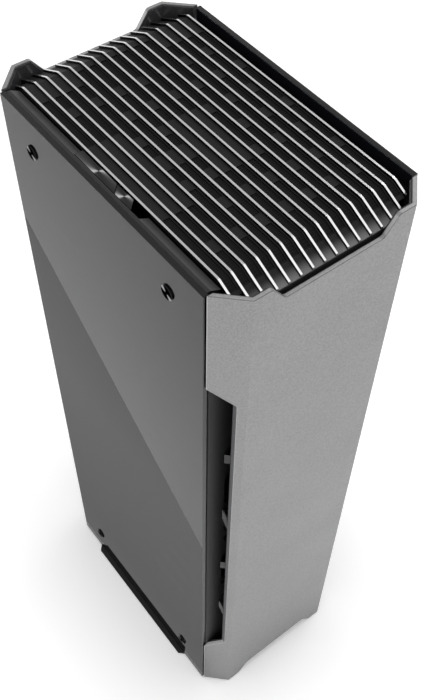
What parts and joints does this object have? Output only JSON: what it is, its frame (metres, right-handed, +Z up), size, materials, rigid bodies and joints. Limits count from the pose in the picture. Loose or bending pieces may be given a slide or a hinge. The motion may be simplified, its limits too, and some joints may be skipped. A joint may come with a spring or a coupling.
{
  "type": "computer case",
  "caption": "Tall mini-ITX computer case with folded aluminium front and rear panels, dark glass sides, a lift-off top of upright fins and turned-metal buttons.",
  "frame": {"origin": "on the floor under the middle of the case", "axes": "+Z up, the front panel faces -Y, +X is to the right when facing along +Y"},
  "size_m": [0.184, 0.274, 0.654],
  "materials": {
    "sandblasted_aluminium": "sandblasted and clear anodised",
    "liner_plastic": "fine matt texture",
    "dark_glass": "polished, dark tint",
    "black_screw": "satin black",
    "rubber": "matt",
    "zinc_steel": "zinc plated",
    "foot_plastic": "satin black",
    "black_steel": "fine powder coat",
    "brass": "plain turned",
    "fan_plastic": "moulded black",
    "rail_plastic": "semi gloss black",
    "turned_aluminium": "spun finish",
    "strip_plastic": "moulded black, fine mesh under the slots",
    "circuit_board": "solder mask",
    "switch_plastic": "moulded black",
    "fin_aluminium": "dark anodised sides, bright cut edges"
  },
  "bodies": {
    "chassis": {"front_panel": "sandblasted_aluminium", "rear_panel": "sandblasted_aluminium", "front_liner": "liner_plastic", "rear_liner": "liner_plastic", "left_glass": "dark_glass", "right_glass": "dark_glass", "glass_screws": "black_screw", "fan_screws": "black_screw", "glass_washers": "rubber", "foot_pads": "rubber", "panel_studs": "zinc_steel", "glass_inserts": "zinc_steel", "foot_screws": "zinc_steel", "slot_screws": "zinc_steel", "left_foot_rail": "foot_plastic", "right_foot_rail": "foot_plastic", "base_plate": "black_steel", "front_wall": "black_steel", "rear_wall": "black_steel", "top_plate": "black_steel", "slot_cover_1": "black_steel", "slot_cover_2": "black_steel", "slot_cover_3": "black_steel", "board_tray": "black_steel", "front_drive_tray": "black_steel", "rear_drive_tray": "black_steel", "supply_bracket": "black_steel", "board_standoffs": "brass", "lower_fan_frame": "fan_plastic", "upper_fan_frame": "fan_plastic", "left_top_rail": "rail_plastic", "right_top_rail": "rail_plastic", "switch_board": "circuit_board", "button_switches": "switch_plastic"},
    "top_cover": {"fin_01": "fin_aluminium", "fin_02": "fin_aluminium", "fin_03": "fin_aluminium", "fin_04": "fin_aluminium", "fin_05": "fin_aluminium", "fin_06": "fin_aluminium", "fin_07": "fin_aluminium", "fin_08": "fin_aluminium", "fin_09": "fin_aluminium", "fin_10": "fin_aluminium", "fin_11": "fin_aluminium", "fin_12": "fin_aluminium", "fin_13": "fin_aluminium", "fin_14": "fin_aluminium", "fin_15": "fin_aluminium", "fin_16": "fin_aluminium", "cover_front_bar": "fin_aluminium", "cover_rear_bar": "fin_aluminium", "cover_cross_bar_1": "fin_aluminium", "cover_cross_bar_2": "fin_aluminium", "cover_cross_bar_3": "fin_aluminium", "cover_strips": "strip_plastic"},
    "power_button": {"power_button": "turned_aluminium"},
    "light_button": {"light_button": "turned_aluminium"},
    "lower_fan_rotor": {"lower_fan_rotor": "fan_plastic"},
    "upper_fan_rotor": {"upper_fan_rotor": "fan_plastic"}
  },
  "joints": [
    {"name": "top_cover_lift", "type": "slide", "parent": "chassis", "child": "top_cover", "axis": [0, 0, 1], "range_m": [0, 0.06]},
    {"name": "power_button_press", "type": "slide", "parent": "chassis", "child": "power_button", "axis": [0, 0, -1], "range_m": [0, 0.001], "stiffness_N_per_m": 800, "springref_m": -0.0006},
    {"name": "light_button_press", "type": "slide", "parent": "chassis", "child": "light_button", "axis": [0, 0, -1], "range_m": [0, 0.001], "stiffness_N_per_m": 800, "springref_m": -0.0006},
    {"name": "lower_fan_spin", "type": "hinge", "parent": "chassis", "child": "lower_fan_rotor", "pos_m": [0, -0.1, 0.256], "axis": [0, 1, 0], "continuous": true},
    {"name": "upper_fan_spin", "type": "hinge", "parent": "chassis", "child": "upper_fan_rotor", "pos_m": [0, -0.1, 0.4], "axis": [0, 1, 0], "continuous": true}
  ]
}
